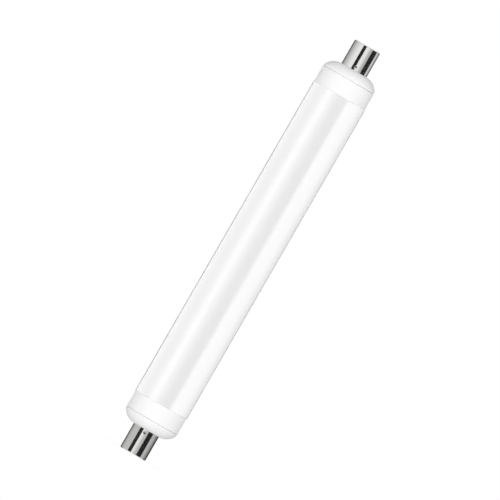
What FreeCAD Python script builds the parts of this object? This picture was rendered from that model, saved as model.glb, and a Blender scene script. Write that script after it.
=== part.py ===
# Strip lamp with a metal cap at each end.
#
# An extruded opal tube is closed at both ends by a moulded collar. Each collar holds a domed
# end moulding, whose neck carries a drawn metal cap, and the cap is held by punch marks.
# The lamp stands on its lower cap: Z runs up along its axis and Z = 0 is that cap's end face.
# Lengths are in millimetres. The end pieces are drawn from their own end face inwards.
import FreeCAD, Part
import math
import os
import re

import Sketcher

# Driving sizes, each written once
SIZES = {
    "lamp_length": 310.0,  # end face to end face
    "cap_diameter": 19.0,
    "cap_length": 18.2,  # what shows of a cap, from its end face to the dome
    "cap_wall": 0.4,
    "cap_corner": 0.7,  # outer radius of the drawn corner
    "well_diameter": 6.8,  # recess pressed into the cap's end
    "well_depth": 0.9,
    "lead_hole_diameter": 2.0,
    "solder_diameter": 6.0,
    "solder_sink": 0.25,  # how far the solder's crown stays behind the end face
    "solder_clearance": 0.05,
    "bead_diameter": 3.6,  # solder that has run through to the inside
    "bead_height": 0.7,
    "punch_count": 3,
    "punch_radius": 1.1,  # radius of the punch's ball nose
    "punch_depth": 0.5,
    "punch_setback": 2.0,  # from the dome to the middle of a mark
    "punch_clearance": 0.1,
    "neck_clearance": 0.1,
    "neck_wall": 1.4,
    "neck_gap": 3.3,  # from the cap's end wall to the neck
    "dome_land": 0.05,  # flat of the dome that stands out past the cap
    "dome_rise": 6.1,  # height of the rounded part
    "dome_rim": 1.1,  # height of the straight rim
    "dome_inset": 0.1,  # how far the rim lies inside the collar's surface
    "dome_wall": 1.8,
    "dome_plug_wall": 1.5,
    "dome_plug_length": 4.0,
    "dome_plug_clearance": 0.1,
    "seam_radius": 0.35,  # edge radii that make the fine groove between dome and collar
    "collar_length": 12.0,
    "collar_inset": 0.3,  # how far the collar lies inside the tube's surface
    "collar_wall": 2.0,
    "collar_web": 1.8,  # thickness of the web that joins the collar to its plug
    "collar_plug_wall": 1.65,
    "collar_plug_length": 10.0,
    "collar_plug_clearance": 0.15,
    "collar_lead_in": 0.5,  # chamfer at the mouth of the plug
    "tube_diameter": 39.0,
    "tube_wall": 1.5,
    "tube_edge": 0.2,
}

# Radii that follow from the driving sizes
CAP = "(cap_diameter / 2)"
CAP_BORE = f"({CAP} - cap_wall)"
NECK = f"({CAP_BORE} - neck_clearance)"
NECK_BORE = f"({NECK} - neck_wall)"
DOME_FLAT = f"({CAP} + dome_land)"
COLLAR = "(tube_diameter / 2 - collar_inset)"
COLLAR_BORE = f"({COLLAR} - collar_wall)"
DOME_EDGE = f"({COLLAR} - dome_inset)"
DOME_PLUG = f"({COLLAR_BORE} - dome_plug_clearance)"
DOME_PLUG_BORE = f"({DOME_PLUG} - dome_plug_wall)"
TUBE = "(tube_diameter / 2)"
TUBE_BORE = f"({TUBE} - tube_wall)"
COLLAR_PLUG = f"({TUBE_BORE} - collar_plug_clearance)"
COLLAR_PLUG_BORE = f"({COLLAR_PLUG} - collar_plug_wall)"
WELL = "(well_diameter / 2)"
LEAD_HOLE = "(lead_hole_diameter / 2)"

# Heights from an end face inwards
SEAM = "(cap_length + dome_rise + dome_rim)"
TUBE_END = f"({SEAM} + collar_length)"
PUNCH_HEIGHT = "(cap_length - punch_setback)"
WELL_BACK = "(well_depth + cap_wall)"

# The dome is a round arc, level where it meets the cap and ending at the rim
DOME_RADIUS = f"((({DOME_EDGE} - {DOME_FLAT})^2 + dome_rise^2) / (2 * dome_rise))"
DOME_INNER_REACH = f"({DOME_PLUG_BORE} - {DOME_FLAT})"
DOME_INNER_END = (
    f"(cap_length + {DOME_RADIUS}"
    f" - sqrt(({DOME_RADIUS} - dome_wall)^2 - {DOME_INNER_REACH}^2))"
)

# A punch mark's ball nose stands this far from the axis
PUNCH_CENTRE = f"({CAP} - punch_depth + punch_radius)"

doc = FreeCAD.newDocument("StripLamp")


def write_sizes():
    """Puts the driving sizes in the sheet, one named cell each."""
    sheet = doc.addObject("Spreadsheet::Sheet", "Sizes")
    for row, (word, amount) in enumerate(SIZES.items(), start=1):
        sheet.set(f"A{row}", word)
        sheet.set(f"B{row}", str(amount))
        sheet.setAlias(f"B{row}", word)
    doc.recompute()
    return sheet


sizes = write_sizes()


def rule(text):
    """The rule with each size's name led by the sheet's name."""
    return re.sub(r"\b[a-z]+(?:_[a-z]+)+\b", r"Sizes.\g<0>", text)


def number(text):
    """What a rule comes to with the present sizes."""
    return float(sizes.evalExpression(rule(text)))


def new_body(label, end=None):
    """A body for one piece. An end's pieces are turned so that a punch mark faces the front."""
    body = doc.addObject("PartDesign::Body", label)
    body.Label = label
    to_front = FreeCAD.Rotation(FreeCAD.Vector(0, 0, 1), -90)
    end_over = FreeCAD.Rotation(FreeCAD.Vector(0, 1, 0), 180)
    if end == "lower":
        body.Placement = FreeCAD.Placement(FreeCAD.Vector(), to_front)
    if end == "upper":
        body.Placement = FreeCAD.Placement(FreeCAD.Vector(), end_over * to_front)
        body.setExpression("Placement.Base.z", rule("lamp_length"))
    return body


def origin_feature(body, role):
    """The body's own origin plane or axis with this role."""
    return next(o for o in body.Origin.OriginFeatures if o.Role == role)


def new_sketch(body, name, plane):
    sketch = body.newObject("Sketcher::SketchObject", name)
    sketch.AttachmentSupport = [(origin_feature(body, plane), "")]
    sketch.MapMode = "FlatFace"
    return sketch


def bind(owner, constraint, text):
    """Adds a dimension to a sketch and ties it to its rule."""
    index = owner.addConstraint(Sketcher.Constraint(*constraint, number(text)))
    owner.setExpression(f"Constraints[{index}]", rule(text))


def level_arc(near, far):
    """The arc between two points that is level at the one nearer the axis."""
    run = far.x - near.x
    rise = far.y - near.y
    radius = (run**2 + rise**2) / (2 * rise)
    centre = FreeCAD.Vector(near.x, near.y + radius, 0)
    stop = math.atan2(far.y - centre.y, far.x - centre.x)
    circle = Part.Circle(centre, FreeCAD.Vector(0, 0, 1), radius)
    return Part.ArcOfCircle(circle, -math.pi / 2, stop)


def draw_edges(sketch, corners, arcs):
    """Draws the section's edges and gives the place of each edge's first and last point."""
    start, finish, centre = 1, 2, 3
    points = [FreeCAD.Vector(number(radius), number(height), 0) for radius, height in corners]
    ends = []
    for edge, (here, there) in enumerate(zip(points, points[1:] + points[:1])):
        if edge not in arcs:
            sketch.addGeometry(Part.LineSegment(here, there))
            ends.append((start, finish))
            continue
        outward = here.x < there.x
        near, far = (here, there) if outward else (there, here)
        sketch.addGeometry(level_arc(near, far))
        ends.append((start, finish) if outward else (finish, start))
        sketch.addConstraint(Sketcher.Constraint("Vertical", edge, centre, edge, start))
    return ends


def draw_section(body, name, corners, arcs=()):
    """Half section of a turned form in the body's XZ plane.

    corners are (radius, height) rules in order. arcs names the edges that are rounded, each by
    the corner it starts from. A corner takes a dimension only where it leaves the last one's line.
    """
    sketch = new_sketch(body, name, "XZ_Plane")
    ends = draw_edges(sketch, corners, arcs)
    origin, on_axis = (-1, 1), -2
    for edge, (radius, height) in enumerate(corners):
        before = edge - 1 if edge else len(corners) - 1
        sketch.addConstraint(
            Sketcher.Constraint("Coincident", before, ends[before][1], edge, ends[edge][0])
        )
        last_radius, last_height = corners[before]
        straight = edge > 0 and before not in arcs
        if radius == "0":
            sketch.addConstraint(
                Sketcher.Constraint("PointOnObject", edge, ends[edge][0], on_axis)
            )
        elif straight and radius == last_radius:
            sketch.addConstraint(Sketcher.Constraint("Vertical", before))
        else:
            bind(sketch, ("DistanceX", *origin, edge, ends[edge][0]), radius)
        if straight and height == last_height:
            sketch.addConstraint(Sketcher.Constraint("Horizontal", before))
        else:
            bind(sketch, ("DistanceY", *origin, edge, ends[edge][0]), height)
    return sketch


def turn_section(body, name, corners, arcs=()):
    """The solid that the section makes in a full turn about the axis."""
    sketch = draw_section(body, f"{name}_section", corners, arcs)
    turned = body.newObject("PartDesign::Revolution", name)
    turned.Profile = sketch
    turned.ReferenceAxis = (sketch, ["V_Axis"])
    turned.Angle = 360
    doc.recompute()
    return turned


def ring_names(shape, radius, height):
    """The names of the shape's round edges with this radius at this height."""
    near = 1e-4
    names = []
    for index, edge in enumerate(shape.Edges, start=1):
        if not isinstance(edge.Curve, Part.Circle):
            continue
        same_radius = abs(edge.Curve.Radius - number(radius)) < near
        if same_radius and abs(edge.Curve.Center.z - number(height)) < near:
            names.append(f"Edge{index}")
    return names


def ease_rings(body, name, kind, size, rings):
    """Rounds ("Fillet") or chamfers ("Chamfer") the round edges named by (radius, height)."""
    base = body.Tip
    names = [edge for ring in rings for edge in ring_names(base.Shape, *ring)]
    eased = body.newObject(f"PartDesign::{kind}", name)
    eased.Base = (base, names)
    eased.setExpression("Radius" if kind == "Fillet" else "Size", rule(size))
    doc.recompute()
    return eased


def repeat_round(body, name, feature):
    """Repeats one of a punch mark's features round the cap."""
    pattern = body.newObject("PartDesign::PolarPattern", name)
    pattern.Originals = [feature]
    pattern.Axis = (origin_feature(body, "Z_Axis"), [""])
    pattern.Angle = 360
    pattern.setExpression("Occurrences", rule("punch_count"))
    body.Tip = pattern
    doc.recompute()
    return pattern


def press_ball(body, name, radius):
    """Takes the punch's ball nose, at this radius, out of the body."""
    ball = body.newObject("PartDesign::SubtractiveSphere", name)
    ball.setExpression("Radius", rule(radius))
    ball.setExpression("Placement.Base.x", rule(PUNCH_CENTRE))
    ball.setExpression("Placement.Base.z", rule(PUNCH_HEIGHT))
    doc.recompute()
    return ball


def raise_inside(body):
    """The bump that a punch mark makes inside the cap, one wall thick over the ball nose."""
    sketch = new_sketch(body, "bump_section", "XZ_Plane")
    sketch.setExpression("AttachmentOffset.Base.y", rule(PUNCH_HEIGHT))
    reach = f"({CAP} - cap_wall / 2)"
    outer = "(punch_radius + cap_wall)"
    centre = FreeCAD.Vector(number(PUNCH_CENTRE), 0, 0)
    radius = number(outer)
    angle = math.acos((number(reach) - centre.x) / radius)
    circle = Part.Circle(centre, FreeCAD.Vector(0, 0, 1), radius)
    arc = sketch.addGeometry(Part.ArcOfCircle(circle, angle, math.pi))
    top = FreeCAD.Vector(number(reach), radius * math.sin(angle), 0)
    foot = FreeCAD.Vector(top.x, 0, 0)
    crown = FreeCAD.Vector(centre.x - radius, 0, 0)
    side = sketch.addGeometry(Part.LineSegment(top, foot))
    axis = sketch.addGeometry(Part.LineSegment(foot, crown))
    on_level = -1
    for constraint in (
        ("Coincident", arc, 1, side, 1),
        ("Coincident", side, 2, axis, 1),
        ("Coincident", axis, 2, arc, 2),
        ("PointOnObject", arc, 3, on_level),
        ("PointOnObject", axis, 1, on_level),
        ("PointOnObject", axis, 2, on_level),
        ("Vertical", side),
    ):
        sketch.addConstraint(Sketcher.Constraint(*constraint))
    bind(sketch, ("Radius", arc), outer)
    bind(sketch, ("DistanceX", -1, 1, arc, 3), PUNCH_CENTRE)
    bind(sketch, ("DistanceX", -1, 1, axis, 1), reach)
    bump = body.newObject("PartDesign::Revolution", "bump")
    bump.Profile = sketch
    bump.ReferenceAxis = (sketch, ["H_Axis"])
    bump.Angle = 360
    doc.recompute()
    return bump


def make_diffuser_tube():
    """Opal tube, extruded and cut square, its outer edges just broken."""
    body = new_body("diffuser_tube")
    body.setExpression("Placement.Base.z", rule(TUBE_END))
    sketch = new_sketch(body, "tube_section", "XY_Plane")
    origin = FreeCAD.Vector()
    upright = FreeCAD.Vector(0, 0, 1)
    for radius in (TUBE, TUBE_BORE):
        ring = sketch.addGeometry(Part.Circle(origin, upright, number(radius)))
        sketch.addConstraint(Sketcher.Constraint("Coincident", ring, 3, -1, 1))
        bind(sketch, ("Radius", ring), radius)
    length = f"(lamp_length - 2 * {TUBE_END})"
    extruded = body.newObject("PartDesign::Pad", "extruded")
    extruded.Profile = sketch
    extruded.setExpression("Length", rule(length))
    doc.recompute()
    ease_rings(body, "broken_edges", "Fillet", "tube_edge", [(TUBE, "0"), (TUBE, length)])
    return body


def make_end_collar(end):
    """Moulded ring flush with the tube's end, with a plug that fills the tube's mouth."""
    body = new_body(f"end_collar_{end}", end)
    web_face = f"({TUBE_END} - collar_web)"
    plug_mouth = f"({TUBE_END} + collar_plug_length)"
    turn_section(
        body,
        "collar",
        [
            (COLLAR_BORE, SEAM),
            (COLLAR, SEAM),
            (COLLAR, TUBE_END),
            (COLLAR_PLUG, TUBE_END),
            (COLLAR_PLUG, plug_mouth),
            (COLLAR_PLUG_BORE, plug_mouth),
            (COLLAR_PLUG_BORE, web_face),
            (COLLAR_BORE, web_face),
        ],
    )
    ease_rings(body, "seam_edge", "Fillet", "seam_radius", [(COLLAR, SEAM)])
    ease_rings(body, "lead_in", "Chamfer", "collar_lead_in", [(COLLAR_PLUG, plug_mouth)])
    return body


def make_end_dome(end):
    """Moulded shoulder: a neck for the cap, a rounded dome and a plug into the collar."""
    body = new_body(f"end_dome_{end}", end)
    neck_end = "(cap_wall + neck_gap)"
    plug_mouth = f"({SEAM} + dome_plug_length)"
    underside = "(cap_length + dome_wall)"
    turn_section(
        body,
        "dome",
        [
            (NECK_BORE, neck_end),
            (NECK, neck_end),
            (NECK, "cap_length"),
            (DOME_FLAT, "cap_length"),
            (DOME_EDGE, "(cap_length + dome_rise)"),
            (DOME_EDGE, SEAM),
            (DOME_PLUG, SEAM),
            (DOME_PLUG, plug_mouth),
            (DOME_PLUG_BORE, plug_mouth),
            (DOME_PLUG_BORE, DOME_INNER_END),
            (DOME_FLAT, underside),
            (NECK_BORE, underside),
        ],
        arcs=(3, 9),
    )
    ease_rings(body, "seam_edge", "Fillet", "seam_radius", [(DOME_EDGE, SEAM)])
    pit = press_ball(body, "pit", "(punch_radius + cap_wall + punch_clearance)")
    repeat_round(body, "pits", pit)
    return body


def make_cap_shell(end):
    """Drawn metal cup with a recessed end, punched into the neck's pits."""
    body = new_body(f"cap_shell_{end}", end)
    well_outside = f"({WELL} + cap_wall)"
    turn_section(
        body,
        "cup",
        [
            (LEAD_HOLE, "well_depth"),
            (WELL, "well_depth"),
            (WELL, "0"),
            (CAP, "0"),
            (CAP, "cap_length"),
            (CAP_BORE, "cap_length"),
            (CAP_BORE, "cap_wall"),
            (well_outside, "cap_wall"),
            (well_outside, WELL_BACK),
            (LEAD_HOLE, WELL_BACK),
        ],
    )
    ease_rings(body, "drawn_corner", "Fillet", "cap_corner", [(CAP, "0")])
    inner_corners = [(CAP_BORE, "cap_wall"), (well_outside, WELL_BACK)]
    ease_rings(body, "inner_corners", "Fillet", "(cap_corner - cap_wall)", inner_corners)
    ease_rings(body, "well_lip", "Fillet", "(cap_corner - cap_wall)", [(WELL, "0")])
    repeat_round(body, "bumps", raise_inside(body))
    repeat_round(body, "marks", press_ball(body, "mark", "punch_radius"))
    return body


def make_solder_spot(end):
    """Solder that closes the lead hole: a low crown in the recess and a bead inside."""
    body = new_body(f"solder_spot_{end}", end)
    stub = f"({LEAD_HOLE} - solder_clearance)"
    bead_top = f"({WELL_BACK} + bead_height)"
    turn_section(
        body,
        "solder",
        [
            ("0", "solder_sink"),
            ("(solder_diameter / 2)", "well_depth"),
            (stub, "well_depth"),
            (stub, WELL_BACK),
            ("(bead_diameter / 2)", WELL_BACK),
            (stub, bead_top),
            ("0", bead_top),
        ],
        arcs=(0,),
    )
    return body


def check_document():
    """Stops where an object failed, a sketch is loose or a feature changed nothing."""
    doc.recompute()
    for item in doc.Objects:
        if {"Invalid", "Error"} & set(item.State):
            raise RuntimeError(f"{item.Label} failed: {item.State}")
        if item.TypeId == "Sketcher::SketchObject" and not item.FullyConstrained:
            raise RuntimeError(f"{item.Label} isn't fully constrained")
    for piece in pieces:
        if piece.Shape.isNull() or not piece.Shape.isValid() or len(piece.Shape.Solids) != 1:
            raise RuntimeError(f"{piece.Label} isn't one sound solid")
        last = 0.0
        for feature in piece.Group:
            if feature.TypeId == "Sketcher::SketchObject":
                continue
            if abs(feature.Shape.Volume - last) < 1e-3:
                raise RuntimeError(f"{piece.Label}: {feature.Label} changes nothing")
            last = feature.Shape.Volume


pieces = [make_diffuser_tube()]
for lamp_end in ("lower", "upper"):
    pieces.append(make_end_collar(lamp_end))
    pieces.append(make_end_dome(lamp_end))
    pieces.append(make_cap_shell(lamp_end))
    pieces.append(make_solder_spot(lamp_end))
check_document()

os.makedirs("parts", exist_ok=True)
for piece in pieces:
    piece.Shape.exportStep(os.path.join("parts", f"{piece.Label}.step"))
    box = piece.Shape.BoundBox
    print(f"{piece.Label}: {piece.Shape.Volume:.1f} mm3, Z {box.ZMin:.2f} to {box.ZMax:.2f}")
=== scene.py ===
import math

import bmesh
import bpy
from mathutils import Matrix, Vector, noise


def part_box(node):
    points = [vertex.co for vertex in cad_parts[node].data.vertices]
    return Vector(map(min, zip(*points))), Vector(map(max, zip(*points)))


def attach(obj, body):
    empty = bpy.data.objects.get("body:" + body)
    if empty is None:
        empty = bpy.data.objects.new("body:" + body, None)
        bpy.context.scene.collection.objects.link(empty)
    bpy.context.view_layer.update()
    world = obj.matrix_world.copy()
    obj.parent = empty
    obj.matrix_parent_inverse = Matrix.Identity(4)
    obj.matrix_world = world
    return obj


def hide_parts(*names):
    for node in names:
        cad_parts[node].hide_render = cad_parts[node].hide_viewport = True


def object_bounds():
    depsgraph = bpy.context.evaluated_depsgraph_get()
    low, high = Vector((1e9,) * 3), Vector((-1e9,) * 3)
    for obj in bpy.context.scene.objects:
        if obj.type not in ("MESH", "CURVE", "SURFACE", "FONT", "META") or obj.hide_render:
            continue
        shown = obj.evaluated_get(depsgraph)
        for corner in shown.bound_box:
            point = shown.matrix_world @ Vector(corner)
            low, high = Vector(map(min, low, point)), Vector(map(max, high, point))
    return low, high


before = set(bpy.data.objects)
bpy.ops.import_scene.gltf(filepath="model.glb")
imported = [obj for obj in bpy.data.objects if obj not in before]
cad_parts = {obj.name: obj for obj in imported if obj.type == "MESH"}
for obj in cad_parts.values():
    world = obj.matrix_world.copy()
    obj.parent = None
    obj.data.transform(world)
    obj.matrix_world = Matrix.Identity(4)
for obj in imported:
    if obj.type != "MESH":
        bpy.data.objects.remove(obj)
cad_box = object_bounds()

# The diffuser tube is one extrusion of opal plastic, cut square to length with its outer
# edges just broken. It is glossy, and its die has left very faint lines along it.
MM = 0.001
FULL_TURN = 2 * math.pi
tube_foot, tube_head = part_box("diffuser_tube")
TUBE_RADIUS = tube_head.x
TUBE_WALL = 1.5 * MM
TUBE_EDGE = 0.2 * MM
TUBE_STEPS = 192
JOINED_WITHIN = 0.002 * MM
SHARP_EDGE = math.radians(35)
OPAL_WHITE = (0.735, 0.735, 0.735, 1)
DIE_LINE_DEPTH = 0.0008 * MM


def draw_section(bm, corners):
    """Half section of a turned form, through its (radius, height) corners in order."""
    points = [bm.verts.new((radius, 0, height)) for radius, height in corners]
    for here, there in zip(points, points[1:] + points[:1]):
        bm.edges.new((here, there))
    return points


def round_corners(bm, corners, radius, segments=4):
    """Rounds corners of a half section before it is turned."""
    bmesh.ops.bevel(
        bm,
        geom=corners,
        offset=radius,
        offset_type="OFFSET",
        affect="VERTICES",
        segments=segments,
        profile=0.5,
        material=-1,
    )


def turn_section(bm, steps):
    """Turns the half section about the lamp's axis into a closed form, faces outwards."""
    bmesh.ops.spin(
        bm,
        geom=bm.verts[:] + bm.edges[:],
        cent=(0, 0, 0),
        axis=(0, 0, 1),
        angle=FULL_TURN,
        steps=steps,
        use_merge=True,
    )
    bmesh.ops.remove_doubles(bm, verts=bm.verts[:], dist=JOINED_WITHIN)
    bmesh.ops.recalc_face_normals(bm, faces=bm.faces[:])


def stand_for(bm, name, node, material):
    """Makes the form a piece of the lamp that is shown in its node's place."""
    for face in bm.faces:
        face.smooth = True
    for edge in bm.edges:
        edge.smooth = edge.calc_face_angle(0) < SHARP_EDGE
    mesh = bpy.data.meshes.new(name)
    bm.to_mesh(mesh)
    bm.free()
    mesh.materials.append(material)
    piece = bpy.data.objects.new(name, mesh)
    bpy.context.scene.collection.objects.link(piece)
    evened = piece.modifiers.new("even_shading", "WEIGHTED_NORMAL")
    evened.keep_sharp = True
    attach(piece, "root")
    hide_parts(node)


def new_effect(name, settings, output):
    """A node group for an effect that several finishes share, with its named sockets."""
    effect = bpy.data.node_groups.new(name, "ShaderNodeTree")
    for setting, usual in settings.items():
        socket = effect.interface.new_socket(
            setting, in_out="INPUT", socket_type="NodeSocketFloat"
        )
        socket.default_value = usual
    effect.interface.new_socket(output, in_out="OUTPUT", socket_type="NodeSocketFloat")
    return effect


def make_lines_along():
    """Fine lines along the lamp, as a die leaves them. Out comes their height, 0 to 1."""
    effect = new_effect("lines_along", {"Line Width": 0.5 * MM, "Line Length": 0.1}, "Height")
    nodes, links = effect.nodes, effect.links
    entry = nodes.new("NodeGroupInput")
    leave = nodes.new("NodeGroupOutput")
    place = nodes.new("ShaderNodeTexCoord")
    cell = nodes.new("ShaderNodeCombineXYZ")
    shrink = nodes.new("ShaderNodeVectorMath")
    shrink.operation = "DIVIDE"
    streaks = nodes.new("ShaderNodeTexNoise")
    streaks.inputs["Scale"].default_value = 1
    streaks.inputs["Detail"].default_value = 3
    for across in ("X", "Y"):
        links.new(entry.outputs["Line Width"], cell.inputs[across])
    links.new(entry.outputs["Line Length"], cell.inputs["Z"])
    links.new(place.outputs["Object"], shrink.inputs[0])
    links.new(cell.outputs["Vector"], shrink.inputs[1])
    links.new(shrink.outputs["Vector"], streaks.inputs["Vector"])
    links.new(streaks.outputs["Fac"], leave.inputs["Height"])
    return effect


def make_uneven_polish():
    """Broad soft patches that are a little more or less matt, as handling leaves them."""
    effect = new_effect(
        "uneven_polish", {"Patch Size": 0.02, "Glossiest": 0.2, "Dullest": 0.3}, "Roughness"
    )
    nodes, links = effect.nodes, effect.links
    entry = nodes.new("NodeGroupInput")
    leave = nodes.new("NodeGroupOutput")
    place = nodes.new("ShaderNodeTexCoord")
    shrink = nodes.new("ShaderNodeVectorMath")
    shrink.operation = "DIVIDE"
    patches = nodes.new("ShaderNodeTexNoise")
    patches.inputs["Scale"].default_value = 1
    patches.inputs["Detail"].default_value = 4
    spread = nodes.new("ShaderNodeMapRange")
    spread.inputs["From Min"].default_value = 0.3
    spread.inputs["From Max"].default_value = 0.7
    links.new(place.outputs["Object"], shrink.inputs[0])
    links.new(entry.outputs["Patch Size"], shrink.inputs[1])
    links.new(shrink.outputs["Vector"], patches.inputs["Vector"])
    links.new(patches.outputs["Fac"], spread.inputs["Value"])
    links.new(entry.outputs["Glossiest"], spread.inputs["To Min"])
    links.new(entry.outputs["Dullest"], spread.inputs["To Max"])
    links.new(spread.outputs["Result"], leave.inputs["Roughness"])
    return effect


lines_along = make_lines_along()
uneven_polish = make_uneven_polish()


def new_finish(name, colour, ior=1.5, metallic=0.0):
    """A material with one plain colour, and its node tree and shader."""
    material = bpy.data.materials.new(name)
    material.use_nodes = True
    tree = material.node_tree
    shader = tree.nodes["Principled BSDF"]
    shader.inputs["Base Color"].default_value = colour
    shader.inputs["IOR"].default_value = ior
    shader.inputs["Metallic"].default_value = metallic
    return material, tree, shader


def add_effect(tree, effect, **settings):
    """Places a shared effect in a finish with that finish's own settings."""
    placed = tree.nodes.new("ShaderNodeGroup")
    placed.node_tree = effect
    for setting, value in settings.items():
        placed.inputs[setting.replace("_", " ").title()].default_value = value
    return placed


def raise_surface(tree, shader, height, depth):
    """Lets a height, 0 to 1, stand out from the surface by a real depth."""
    relief = tree.nodes.new("ShaderNodeBump")
    relief.inputs["Distance"].default_value = depth
    tree.links.new(height, relief.inputs["Height"])
    tree.links.new(relief.outputs["Normal"], shader.inputs["Normal"])


def make_opal_finish():
    """Opal plastic, glossy, with die lines about a thousandth of a millimetre deep."""
    material, tree, shader = new_finish("opal_plastic", OPAL_WHITE, ior=1.58)
    shader.inputs["Specular IOR Level"].default_value = 0.9
    die_lines = add_effect(tree, lines_along, line_width=0.9 * MM, line_length=90 * MM)
    raise_surface(tree, shader, die_lines.outputs["Height"], DIE_LINE_DEPTH)
    polish = add_effect(tree, uneven_polish, patch_size=25 * MM, glossiest=0.22, dullest=0.27)
    tree.links.new(polish.outputs["Roughness"], shader.inputs["Roughness"])
    return material


def build_tube():
    bm = bmesh.new()
    bore = TUBE_RADIUS - TUBE_WALL
    corners = draw_section(
        bm,
        [
            (bore, tube_foot.z),
            (TUBE_RADIUS, tube_foot.z),
            (TUBE_RADIUS, tube_head.z),
            (bore, tube_head.z),
        ],
    )
    round_corners(bm, corners[1:3], TUBE_EDGE)
    turn_section(bm, TUBE_STEPS)
    return bm


opal_plastic = make_opal_finish()
stand_for(build_tube(), "opal_tube", "diffuser_tube", opal_plastic)

# Each collar is a moulded ring, a shade smaller than the tube, with a web and a plug behind
# it that fills the tube's mouth. It is the whitest piece, with the fine grain of its mould.
LAMP_LENGTH = cad_box[1].z
collar_foot, collar_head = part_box("end_collar_lower")
COLLAR_RADIUS = collar_head.x
COLLAR_WALL = 2.0 * MM
COLLAR_WEB = 1.8 * MM
PLUG_CLEARANCE = 0.15 * MM
PLUG_WALL = 1.65 * MM
PLUG_LEAD_IN = 0.5 * MM
SEAM_HEIGHT = collar_foot.z
SEAM_RADIUS = 0.5 * MM
SEAM_GAP = 0.1 * MM
MOULDED_STEPS = 192
MOULDED_WHITE = (0.94, 0.94, 0.94, 1)
GRAIN_SIZE = 0.35 * MM
GRAIN_DEPTH = 0.012 * MM
END_OVER = Matrix.Rotation(math.pi, 3, "Y")


def turn_end_over(bm):
    """Takes a lower end's form to the upper end, turned over."""
    bmesh.ops.rotate(bm, verts=bm.verts[:], cent=(0, 0, 0), matrix=END_OVER)
    bmesh.ops.translate(bm, verts=bm.verts[:], vec=(0, 0, LAMP_LENGTH))


def make_both_ends(build, piece, node, material):
    """Builds a form for the lower end, and once more, turned over, for the upper end."""
    for end in ("lower", "upper"):
        bm = build()
        if end == "upper":
            turn_end_over(bm)
        stand_for(bm, f"{piece}_{end}", f"{node}_{end}", material)


def make_moulded_finish():
    """White moulding with the fine grain of a spark-eroded mould."""
    material, tree, shader = new_finish("white_moulding", MOULDED_WHITE)
    shader.inputs["Specular IOR Level"].default_value = 0.1
    place = tree.nodes.new("ShaderNodeTexCoord")
    grain = tree.nodes.new("ShaderNodeTexNoise")
    grain.inputs["Scale"].default_value = 1 / GRAIN_SIZE
    grain.inputs["Detail"].default_value = 2
    tree.links.new(place.outputs["Object"], grain.inputs["Vector"])
    raise_surface(tree, shader, grain.outputs["Fac"], GRAIN_DEPTH)
    polish = add_effect(tree, uneven_polish, patch_size=9 * MM, glossiest=0.5, dullest=0.6)
    tree.links.new(polish.outputs["Roughness"], shader.inputs["Roughness"])
    return material


def build_collar():
    bm = bmesh.new()
    bore = COLLAR_RADIUS - COLLAR_WALL
    plug = TUBE_RADIUS - TUBE_WALL - PLUG_CLEARANCE
    web_face = tube_foot.z - COLLAR_WEB
    rim = SEAM_HEIGHT + SEAM_GAP / 2
    corners = draw_section(
        bm,
        [
            (bore, rim),
            (COLLAR_RADIUS, rim),
            (COLLAR_RADIUS, tube_foot.z),
            (plug, tube_foot.z),
            (plug, collar_head.z),
            (plug - PLUG_WALL, collar_head.z),
            (plug - PLUG_WALL, web_face),
            (bore, web_face),
        ],
    )
    round_corners(bm, [corners[1]], SEAM_RADIUS)
    round_corners(bm, [corners[4]], PLUG_LEAD_IN, segments=1)
    turn_section(bm, MOULDED_STEPS)
    return bm


white_moulding = make_moulded_finish()
make_both_ends(build_collar, "collar", "end_collar", white_moulding)

# Each dome is a moulded shoulder with a plug that fits the collar and a neck that carries the
# cap. The neck has a round pit for each punch mark, so that the cap can't turn or pull off.
dome_foot, dome_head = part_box("end_dome_lower")
cap_foot, cap_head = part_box("cap_shell_lower")
CAP_RADIUS = -cap_foot.y
CAP_LENGTH = cap_head.z
CAP_WALL = 0.4 * MM
NECK_CLEARANCE = 0.1 * MM
NECK_WALL = 1.4 * MM
DOME_LAND = 0.05 * MM
DOME_RISE = 6.1 * MM
DOME_INSET = 0.1 * MM
DOME_WALL = 1.8 * MM
DOME_RIM_RADIUS = 0.5 * MM
DOME_PLUG_WALL = 1.5 * MM
DOME_PLUG_CLEARANCE = 0.1 * MM
ARC_STEPS = 24
PUNCH_COUNT = 3
PUNCH_RADIUS = 1.1 * MM
PUNCH_DEPTH = 0.5 * MM
PUNCH_HEIGHT = CAP_LENGTH - 2.0 * MM
PUNCH_CENTRE = CAP_RADIUS - PUNCH_DEPTH + PUNCH_RADIUS
PIT_CLEARANCE = 0.1 * MM
PIT_LIP = 0.05 * MM
PIT_BAND = 1.7 * MM
NECK_RINGS = 16
NEAR = 0.01 * MM


def draw_arc(bm, start, centre, angle, steps):
    """Swings a point of a half section about a centre, and gives the last point."""
    swung = bmesh.ops.spin(
        bm, geom=[start], cent=centre, axis=(0, -1, 0), angle=angle, steps=steps
    )
    return next(item for item in swung["geom_last"] if isinstance(item, bmesh.types.BMVert))


def join_points(bm, points):
    for here, there in zip(points, points[1:]):
        bm.edges.new((here, there))


def ring_wall(bm, low, high, rings):
    """Cuts rings round the form between two heights, so that marks can be pressed there."""
    for ring in range(rings + 1):
        height = low + (high - low) * ring / rings
        bmesh.ops.bisect_plane(
            bm,
            geom=bm.verts[:] + bm.edges[:] + bm.faces[:],
            plane_co=(0, 0, height),
            plane_no=(0, 0, 1),
        )


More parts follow.
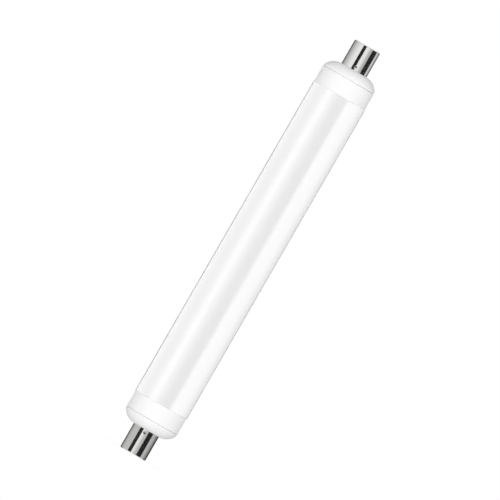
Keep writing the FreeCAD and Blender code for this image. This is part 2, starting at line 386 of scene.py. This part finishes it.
def press_marks(bm, wall, ball, lip):
    """Presses a ball into a round wall at each mark, with a soft lip, and gives the dents."""
    dents = []
    for mark in range(PUNCH_COUNT):
        turn = FULL_TURN * mark / PUNCH_COUNT
        inwards = Vector((-math.sin(turn), math.cos(turn), 0))
        centre = -inwards * PUNCH_CENTRE + Vector((0, 0, PUNCH_HEIGHT))
        for vert in bm.verts:
            on_wall = abs(math.hypot(vert.co.x, vert.co.y) - wall) < NEAR
            reach = vert.co - centre
            depth = reach.dot(inwards)
            aside = (reach - inwards * depth).length
            if not on_wall or depth < 0 or aside >= ball:
                continue
            over = math.sqrt(ball**2 - aside**2) - depth
            share = min(max(0.5 + 0.5 * over / lip, 0), 1)
            vert.co += inwards * (over * share + lip * share * (1 - share))
            if over > 0:
                dents.append(vert)
    return dents


def build_dome():
    bm = bmesh.new()
    neck = CAP_RADIUS - CAP_WALL - NECK_CLEARANCE
    flat = CAP_RADIUS + DOME_LAND
    edge = COLLAR_RADIUS - DOME_INSET
    plug = COLLAR_RADIUS - COLLAR_WALL - DOME_PLUG_CLEARANCE
    plug_bore = plug - DOME_PLUG_WALL
    reach = edge - flat
    radius = (reach**2 + DOME_RISE**2) / (2 * DOME_RISE)
    centre = Vector((flat, 0, CAP_LENGTH + radius))
    inner_radius = radius - DOME_WALL
    outside = [
        bm.verts.new((neck - NECK_WALL, 0, dome_foot.z)),
        bm.verts.new((neck, 0, dome_foot.z)),
        bm.verts.new((neck, 0, CAP_LENGTH)),
        bm.verts.new((flat, 0, CAP_LENGTH)),
    ]
    rim = draw_arc(bm, outside[-1], centre, math.asin(reach / radius), ARC_STEPS)
    shoulder = SEAM_HEIGHT - SEAM_GAP / 2
    seam = bm.verts.new((edge, 0, shoulder))
    behind = [
        rim,
        seam,
        bm.verts.new((plug, 0, shoulder)),
        bm.verts.new((plug, 0, dome_head.z)),
        bm.verts.new((plug_bore, 0, dome_head.z)),
    ]
    inner_start = bm.verts.new((flat, 0, CAP_LENGTH + DOME_WALL))
    inner_angle = math.asin((plug_bore - flat) / inner_radius)
    inner_end = draw_arc(bm, inner_start, centre, inner_angle, ARC_STEPS)
    underside = bm.verts.new((neck - NECK_WALL, 0, CAP_LENGTH + DOME_WALL))
    join_points(bm, outside)
    join_points(bm, behind + [inner_end])
    join_points(bm, [inner_start, underside, outside[0]])
    round_corners(bm, [rim], DOME_RIM_RADIUS)
    round_corners(bm, [seam], SEAM_RADIUS)
    turn_section(bm, MOULDED_STEPS)
    ring_wall(bm, PUNCH_HEIGHT - PIT_BAND, PUNCH_HEIGHT + PIT_BAND, NECK_RINGS)
    press_marks(bm, neck, PUNCH_RADIUS + CAP_WALL + PIT_CLEARANCE, PIT_LIP)
    return bm


make_both_ends(build_dome, "dome", "end_dome", white_moulding)

# Each cap is a cup drawn from thin brass sheet and nickel plated. Its end has a pressed recess
# with a hole for the lead wire. Punch marks into the neck hold it. Each mark is painted dark
# on the side towards the cap's end, as painted shade in the dent.
WELL_RADIUS = 3.4 * MM
WELL_DEPTH = 0.9 * MM
LEAD_HOLE = 1.0 * MM
CAP_CORNER = 0.7 * MM
INNER_CORNER = CAP_CORNER - CAP_WALL
CAP_STEPS = 320
MARK_BAND = 1.5 * MM
MARK_RINGS = 18
MARK_LIP = 0.06 * MM
DENT_SHADE_START = 0.3
DENT_SHADE_RISE = 2.0
NICKEL = (0.78, 0.78, 0.77, 1)
DENT_SHADE_BLACK = (0.05, 0.05, 0.05, 1)
DRAW_LINE_DEPTH = 0.0015 * MM


def make_nickel_finish():
    """Bright nickel plate over the fine lines that drawing leaves along the cup, with painted
    shade in the dents.
    """
    material, tree, shader = new_finish("nickel_plate", NICKEL, metallic=1.0)
    # Painted shade: the colour in each punch dent goes from the nickel to near black towards the
    # cap's end.
    dent_shade = tree.nodes.new("ShaderNodeAttribute")
    dent_shade.attribute_name = "dent_shade"
    dent_shade_ramp = tree.nodes.new("ShaderNodeValToRGB")
    dent_shade_ramp.color_ramp.elements[0].color = NICKEL
    dent_shade_ramp.color_ramp.elements[1].color = DENT_SHADE_BLACK
    tree.links.new(dent_shade.outputs["Fac"], dent_shade_ramp.inputs["Fac"])
    tree.links.new(dent_shade_ramp.outputs["Color"], shader.inputs["Base Color"])
    draw_lines = add_effect(tree, lines_along, line_width=0.25 * MM, line_length=8 * MM)
    raise_surface(tree, shader, draw_lines.outputs["Height"], DRAW_LINE_DEPTH)
    polish = add_effect(tree, uneven_polish, patch_size=3 * MM, glossiest=0.08, dullest=0.13)
    tree.links.new(polish.outputs["Roughness"], shader.inputs["Roughness"])
    return material


def build_cap():
    bm = bmesh.new()
    dent_shade = bm.verts.layers.float.new("dent_shade")
    bore = CAP_RADIUS - CAP_WALL
    well_outside = WELL_RADIUS + CAP_WALL
    well_back = WELL_DEPTH + CAP_WALL
    corners = draw_section(
        bm,
        [
            (LEAD_HOLE, WELL_DEPTH),
            (WELL_RADIUS, WELL_DEPTH),
            (WELL_RADIUS, 0),
            (CAP_RADIUS, 0),
            (CAP_RADIUS, CAP_LENGTH),
            (bore, CAP_LENGTH),
            (bore, CAP_WALL),
            (well_outside, CAP_WALL),
            (well_outside, well_back),
            (LEAD_HOLE, well_back),
        ],
    )
    round_corners(bm, [corners[3]], CAP_CORNER, segments=8)
    round_corners(bm, [corners[2], corners[6], corners[8]], INNER_CORNER)
    turn_section(bm, CAP_STEPS)
    ring_wall(bm, PUNCH_HEIGHT - MARK_BAND, PUNCH_HEIGHT + MARK_BAND, MARK_RINGS)
    press_marks(bm, bore, PUNCH_RADIUS + CAP_WALL, MARK_LIP)
    # Painted shade: each dent's vertices get darker towards the cap's end, up to near black.
    for vert in press_marks(bm, CAP_RADIUS, PUNCH_RADIUS, MARK_LIP):
        towards_end = (PUNCH_HEIGHT - vert.co.z) / PUNCH_RADIUS
        vert[dent_shade] = min(max(DENT_SHADE_START + DENT_SHADE_RISE * towards_end, 0), 1)
    return bm


nickel_plate = make_nickel_finish()
make_both_ends(build_cap, "cap", "cap_shell", nickel_plate)

# The lead wire ends in a spot of solder, which fills its hole, runs out over the bottom of
# the recess as a low uneven crown and stands as a small bead inside.
solder_foot, solder_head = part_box("solder_spot_lower")
SOLDER_RADIUS = -solder_foot.y
STUB_CLEARANCE = 0.05 * MM
SOLDER_STUB = LEAD_HOLE - STUB_CLEARANCE
BEAD_RADIUS = 1.8 * MM
SOLDER_STEPS = 96
CROWN_STEPS = 14
CROWN_UNEVEN = 0.05 * MM
CROWN_LUMP = 1.3 * MM
SOLDER_GREY = (0.62, 0.62, 0.63, 1)
FROST_SIZE = 0.3 * MM
FROST_DEPTH = 0.03 * MM


def make_solder_finish():
    """Dull solder with the frosted skin that it cools to."""
    material, tree, shader = new_finish("dull_solder", SOLDER_GREY, metallic=1.0)
    place = tree.nodes.new("ShaderNodeTexCoord")
    frost = tree.nodes.new("ShaderNodeTexNoise")
    frost.inputs["Scale"].default_value = 1 / FROST_SIZE
    frost.inputs["Detail"].default_value = 5
    tree.links.new(place.outputs["Object"], frost.inputs["Vector"])
    raise_surface(tree, shader, frost.outputs["Fac"], FROST_DEPTH)
    polish = add_effect(tree, uneven_polish, patch_size=0.8 * MM, glossiest=0.3, dullest=0.55)
    tree.links.new(polish.outputs["Roughness"], shader.inputs["Roughness"])
    return material


def build_solder():
    bm = bmesh.new()
    sink = solder_foot.z
    rise = WELL_DEPTH - sink
    radius = (SOLDER_RADIUS**2 + rise**2) / (2 * rise)
    centre = Vector((0, 0, sink + radius))
    crown = bm.verts.new((0, 0, sink))
    crown_edge = draw_arc(bm, crown, centre, math.asin(SOLDER_RADIUS / radius), CROWN_STEPS)
    inside = [
        crown_edge,
        bm.verts.new((SOLDER_STUB, 0, WELL_DEPTH)),
        bm.verts.new((SOLDER_STUB, 0, WELL_DEPTH + CAP_WALL)),
        bm.verts.new((BEAD_RADIUS, 0, WELL_DEPTH + CAP_WALL)),
        bm.verts.new((SOLDER_STUB, 0, solder_head.z)),
        bm.verts.new((0, 0, solder_head.z)),
    ]
    join_points(bm, inside)
    turn_section(bm, SOLDER_STEPS)
    for vert in bm.verts:
        off_edge = 1 - math.hypot(vert.co.x, vert.co.y) / SOLDER_RADIUS
        if vert.co.z < WELL_DEPTH - NEAR:
            vert.co.z += CROWN_UNEVEN * off_edge * (1 + noise.noise(vert.co / CROWN_LUMP))
    return bm


dull_solder = make_solder_finish()
make_both_ends(build_solder, "solder", "solder_spot", dull_solder)

# The camera looks level at the middle of the lamp through a long lens, square on to its axis,
# and is rolled so that the lamp leans to the right across the picture.
LENS = 1000
SENSOR = 36
PICTURE_WIDTH = 329.5 * MM
CAMERA_DISTANCE = PICTURE_WIDTH * LENS / SENSOR
CAMERA_ROLL = math.radians(-29.99)
CAMERA_ASIDE = -0.13 * MM
CAMERA_SIGHT = 20

camera = bpy.data.objects.new("camera", bpy.data.cameras.new("camera"))
camera.data.lens = LENS
camera.data.sensor_width = SENSOR
camera.data.clip_end = CAMERA_SIGHT
camera.location = (CAMERA_ASIDE, -CAMERA_DISTANCE, LAMP_LENGTH / 2)
camera.rotation_euler = (math.pi / 2, CAMERA_ROLL, 0)
bpy.context.scene.collection.objects.link(camera)
bpy.context.scene.camera = camera

# Wide soft lamps light the object from the camera's side, level, from above and through the
# white paper it stands on, and from behind. The room is even white. Only the camera sees the
# paper.
ROOM_LIGHT = 0.52
KEY_LIGHT = 0.43
BACK_LIGHT = 0.3
TOP_LIGHT = 0.12
PAPER_LIGHT = 0.19
PAPER_RADIUS = 2.5
PAPER_STEPS = 64
PAPER_WHITE = (0.9, 0.9, 0.9, 1)
SHADOW_SHARE = 0.08
SHADOW_REACH = 60 * MM


def hang_lamp(name, way, distance, width, height, brightness):
    """A wide soft lamp that faces the middle of the object from one way.

    brightness is what it gives a white card that faces it.
    """
    data = bpy.data.lights.new(name, "AREA")
    data.shape = "RECTANGLE"
    data.size = width
    data.size_y = height
    data.energy = brightness * (math.pi * distance) ** 2
    lamp = bpy.data.objects.new(name, data)
    lamp.location = Vector((0, 0, LAMP_LENGTH / 2)) + way * distance
    lamp.rotation_euler = way.to_track_quat("Z", "Y").to_euler()
    lamp.visible_camera = False
    lamp.visible_glossy = False
    bpy.context.scene.collection.objects.link(lamp)


def seen_directly(tree):
    """1 where the camera sees a surface by itself, in gloss or through something clear."""
    path = tree.nodes.new("ShaderNodeLightPath")
    either = path.outputs["Is Camera Ray"]
    for ray in ("Is Glossy Ray", "Is Transmission Ray"):
        larger = tree.nodes.new("ShaderNodeMath")
        larger.operation = "MAXIMUM"
        tree.links.new(either, larger.inputs[0])
        tree.links.new(path.outputs[ray], larger.inputs[1])
        either = larger.outputs["Value"]
    return either


def light_room():
    world = bpy.data.worlds.new("white_room")
    world.use_nodes = True
    bpy.context.scene.world = world
    tree = world.node_tree
    background = tree.nodes["Background"]
    background.inputs["Color"].default_value = (1, 1, 1, 1)
    level = tree.nodes.new("ShaderNodeMapRange")
    level.inputs["To Min"].default_value = ROOM_LIGHT
    level.inputs["To Max"].default_value = 1
    tree.links.new(seen_directly(tree), level.inputs["Value"])
    tree.links.new(level.outputs["Result"], background.inputs["Strength"])


def make_paper_finish():
    """White paper. Near the lamp it shows the lamp's shadow, and further out it is white."""
    material = bpy.data.materials.new("white_paper")
    material.use_nodes = True
    tree = material.node_tree
    tree.nodes.clear()
    place = tree.nodes.new("ShaderNodeTexCoord")
    away = tree.nodes.new("ShaderNodeVectorMath")
    away.operation = "LENGTH"
    fade = tree.nodes.new("ShaderNodeMapRange")
    fade.interpolation_type = "SMOOTHSTEP"
    fade.inputs["From Max"].default_value = SHADOW_REACH
    fade.inputs["To Min"].default_value = SHADOW_SHARE
    fade.inputs["To Max"].default_value = 0
    paper = tree.nodes.new("ShaderNodeBsdfDiffuse")
    paper.inputs["Color"].default_value = PAPER_WHITE
    white = tree.nodes.new("ShaderNodeEmission")
    with_shadow = tree.nodes.new("ShaderNodeMixShader")
    surface = tree.nodes.new("ShaderNodeMixShader")
    leave = tree.nodes.new("ShaderNodeOutputMaterial")
    tree.links.new(place.outputs["Object"], away.inputs[0])
    tree.links.new(away.outputs["Value"], fade.inputs["Value"])
    tree.links.new(fade.outputs["Result"], with_shadow.inputs["Fac"])
    tree.links.new(white.outputs["Emission"], with_shadow.inputs[1])
    tree.links.new(paper.outputs["BSDF"], with_shadow.inputs[2])
    tree.links.new(seen_directly(tree), surface.inputs["Fac"])
    tree.links.new(paper.outputs["BSDF"], surface.inputs[1])
    tree.links.new(with_shadow.outputs["Shader"], surface.inputs[2])
    tree.links.new(surface.outputs["Shader"], leave.inputs["Surface"])
    return material


def set_on_stage(bm, name, material):
    """Puts a studio form in the scene, apart from the lamp."""
    mesh = bpy.data.meshes.new(name)
    bm.to_mesh(mesh)
    bm.free()
    mesh.materials.append(material)
    form = bpy.data.objects.new(name, mesh)
    bpy.context.scene.collection.objects.link(form)
    return form


def lay_paper():
    bm = bmesh.new()
    bmesh.ops.create_circle(bm, cap_ends=True, segments=PAPER_STEPS, radius=PAPER_RADIUS)
    paper = set_on_stage(bm, "paper", make_paper_finish())
    paper.visible_glossy = False
    paper.visible_diffuse = False
    paper.visible_shadow = False


for name, way, distance, width, height, brightness in (
    ("key_lamp", (0.08, -1, 0), 1.9, 1.1, 0.3, KEY_LIGHT),
    ("back_lamp", (0, 1, 0), 1.9, 1.4, 0.3, BACK_LIGHT),
    ("top_lamp", (0, -1, 1), 1.6, 1.2, 1.2, TOP_LIGHT),
    ("paper_lamp", (-0.3, -0.3, -1), 1.6, 1.2, 1.2, PAPER_LIGHT),
):
    hang_lamp(name, Vector(way).normalized(), distance, width, height, brightness)
light_room()
lay_paper()

# Curved cards stand round the lamp for its gloss alone. Round the tube they are lit screens.
# Round each cap they are black and grey, which gives the plate its dark bands, with a flange
# that reaches in to the dome. A light one past the upper cap shows in its end face.
CARD_FALLOFF = 1.5
CARD_STEP = math.radians(4)
BEARING_SLACK = 1e-4
TUBE_CARD_RADIUS = 120 * MM
PAST_LAMP = 60 * MM
CAP_CARD_RADIUS = 45 * MM
PAST_LOWER_END = 30 * MM
PAST_UPPER_END = 8 * MM
FLANGE_RADIUS = 18.5 * MM
FLANGE_LEVEL = 22.5 * MM
FLANGE_GAIN = 4.0
FLANGE_GREY = 0.9
LIGHT_CARD_END = 30 * MM
LIGHT_GLOW = 0.6
BLACK_GLOW = 0.016


def make_card_finish():
    """A card as bright as its own glow says, and dimmer towards its sides."""
    material = bpy.data.materials.new("card")
    material.use_nodes = True
    tree = material.node_tree
    tree.nodes.clear()
    glow = tree.nodes.new("ShaderNodeAttribute")
    glow.attribute_name = "glow"
    slant = tree.nodes.new("ShaderNodeLayerWeight")
    slant.inputs["Blend"].default_value = 0.5
    square_on = tree.nodes.new("ShaderNodeMath")
    square_on.operation = "SUBTRACT"
    square_on.inputs[0].default_value = 1
    falloff = tree.nodes.new("ShaderNodeMath")
    falloff.operation = "POWER"
    falloff.inputs[1].default_value = CARD_FALLOFF
    level = tree.nodes.new("ShaderNodeMath")
    level.operation = "MULTIPLY"
    light = tree.nodes.new("ShaderNodeEmission")
    leave = tree.nodes.new("ShaderNodeOutputMaterial")
    tree.links.new(slant.outputs["Facing"], square_on.inputs[1])
    tree.links.new(square_on.outputs["Value"], falloff.inputs[0])
    tree.links.new(glow.outputs["Fac"], level.inputs[0])
    tree.links.new(falloff.outputs["Value"], level.inputs[1])
    tree.links.new(level.outputs["Value"], light.inputs["Strength"])
    tree.links.new(light.outputs["Emission"], leave.inputs["Surface"])
    return material


card_finish = make_card_finish()


def show_in_gloss(card):
    """Leaves a card to the lamp's gloss alone."""
    card.visible_camera = False
    card.visible_diffuse = False
    card.visible_transmission = False
    card.visible_shadow = False


def hang_card(name, edges, start, stop, first, last):
    """A card from one bearing to another, in degrees, whose glow goes from first to last.

    edges are the (radius, height) of its two long edges. Bearing 0 is the camera's side, and
    +90 is the +X side.
    """
    bm = bmesh.new()
    glow = bm.verts.layers.float.new("glow")
    sweep = math.radians(stop - start)
    from_camera_side = Matrix.Rotation(math.radians(start), 3, "Z")
    ends = [
        bm.verts.new(from_camera_side @ Vector((0, -radius, height))) for radius, height in edges
    ]
    bm.edges.new(ends)
    bmesh.ops.spin(
        bm,
        geom=bm.verts[:] + bm.edges[:],
        cent=(0, 0, 0),
        axis=(0, 0, 1),
        angle=sweep,
        steps=math.ceil(sweep / CARD_STEP),
        use_merge=math.isclose(sweep, FULL_TURN),
    )
    for vert in bm.verts:
        bearing = math.atan2(vert.co.x, -vert.co.y) - math.radians(start)
        share = ((bearing + BEARING_SLACK) % FULL_TURN) / sweep
        vert[glow] = first + (last - first) * share
    show_in_gloss(set_on_stage(bm, name, card_finish))


def hang_row(row, edges, cards, gain=1):
    """A row of cards round the lamp on the same two edges, all brightened by the gain."""
    for name, start, stop, first, last in cards:
        hang_card(f"{row}_{name}", edges, start, stop, first * gain, last * gain)


# Each row has a card's name, its start and stop bearings, and its first and last glow.
TUBE_CARDS = (
    ("left_far", -143, -112, 2.3, 3.0),
    ("left_side", -112, -86, 3.1, 2.85),
    ("left_dip", -86, -58, 2.8, 2.5),
    ("left_rise", -58, -31, 2.7, 3.85),
    ("left_fall", -31, 4, 3.1, 0.95),
    ("right_rise", 22, 38, 0.9, 1.7),
    ("right_screen", 38, 92, 3.5, 3.5),
    ("right_fall", 92, 130, 3.4, 1.7),
    ("right_far", 130, 147, 1.7, 1.6),
    ("behind", 147, 217, 0.05, 0.05),
)
LOWER_CARDS = (
    ("left_far", -128, -94, 0.34, 0.58),
    ("left_wall", -94, -46, 0.62, 0.64),
    ("left_black", -46, -18.7, BLACK_GLOW, BLACK_GLOW),
    ("left_white", -18.7, -6.5, 1.06, 0.95),
    ("right_fade", -6.5, 9.5, 0.93, 0.62),
    ("right_grey", 9.5, 24, 0.61, 0.58),
    ("right_black", 24, 63, BLACK_GLOW, BLACK_GLOW),
    ("right_wall", 63, 84.5, 0.6, 0.52),
    ("right_far", 84.5, 128, 0.52, 0.06),
    ("behind_right", 128, 158, BLACK_GLOW, BLACK_GLOW),
    ("behind", 158, 202, 0.75, 0.75),
    ("behind_left", 202, 232, BLACK_GLOW, BLACK_GLOW),
)
UPPER_CARDS = (
    ("left_far", -128, -94, 0.36, 0.59),
    ("left_wall", -94, -51.5, 0.63, 0.97),
    ("left_white", -51.5, -26.8, 0.99, 1.0),
    ("left_black", -26.8, -2.3, BLACK_GLOW, BLACK_GLOW),
    ("right_white", -2.3, 17, 1.02, 0.97),
    ("right_fade", 17, 35, 0.97, 0.57),
    ("right_grey", 35, 48.8, 0.54, 0.5),
    ("right_black", 48.8, 93, BLACK_GLOW, BLACK_GLOW),
    ("right_wall", 93, 112, 0.7, 0.68),
    ("right_far", 112, 138, 0.62, 0.06),
    ("behind_right", 138, 158, BLACK_GLOW, BLACK_GLOW),
    ("behind", 158, 202, 0.75, 0.75),
    ("behind_left", 202, 232, BLACK_GLOW, BLACK_GLOW),
)
tube_walls = ((TUBE_CARD_RADIUS, -PAST_LAMP), (TUBE_CARD_RADIUS, LAMP_LENGTH + PAST_LAMP))
hang_row("tube_card", tube_walls, TUBE_CARDS)
lower_walls = ((CAP_CARD_RADIUS, -PAST_LOWER_END), (CAP_CARD_RADIUS, FLANGE_LEVEL))
hang_row("lower_card", lower_walls, LOWER_CARDS)
upper_level = LAMP_LENGTH - FLANGE_LEVEL
above_cap = LAMP_LENGTH + PAST_UPPER_END
upper_walls = ((CAP_CARD_RADIUS, above_cap), (CAP_CARD_RADIUS, upper_level))
hang_row("upper_card", upper_walls, UPPER_CARDS)
lower_flange = ((FLANGE_RADIUS, FLANGE_LEVEL), (CAP_CARD_RADIUS, FLANGE_LEVEL))
hang_card("lower_flange", lower_flange, 0, 360, FLANGE_GREY, FLANGE_GREY)
upper_flange = ((FLANGE_RADIUS, upper_level), (CAP_CARD_RADIUS, upper_level))
hang_row("upper_flange", upper_flange, UPPER_CARDS, gain=FLANGE_GAIN)
light_walls = ((CAP_CARD_RADIUS, above_cap), (CAP_CARD_RADIUS, LAMP_LENGTH + LIGHT_CARD_END))
hang_card("upper_light_card", light_walls, 0, 360, LIGHT_GLOW, LIGHT_GLOW)

bpy.context.scene.view_settings.view_transform = "Standard"
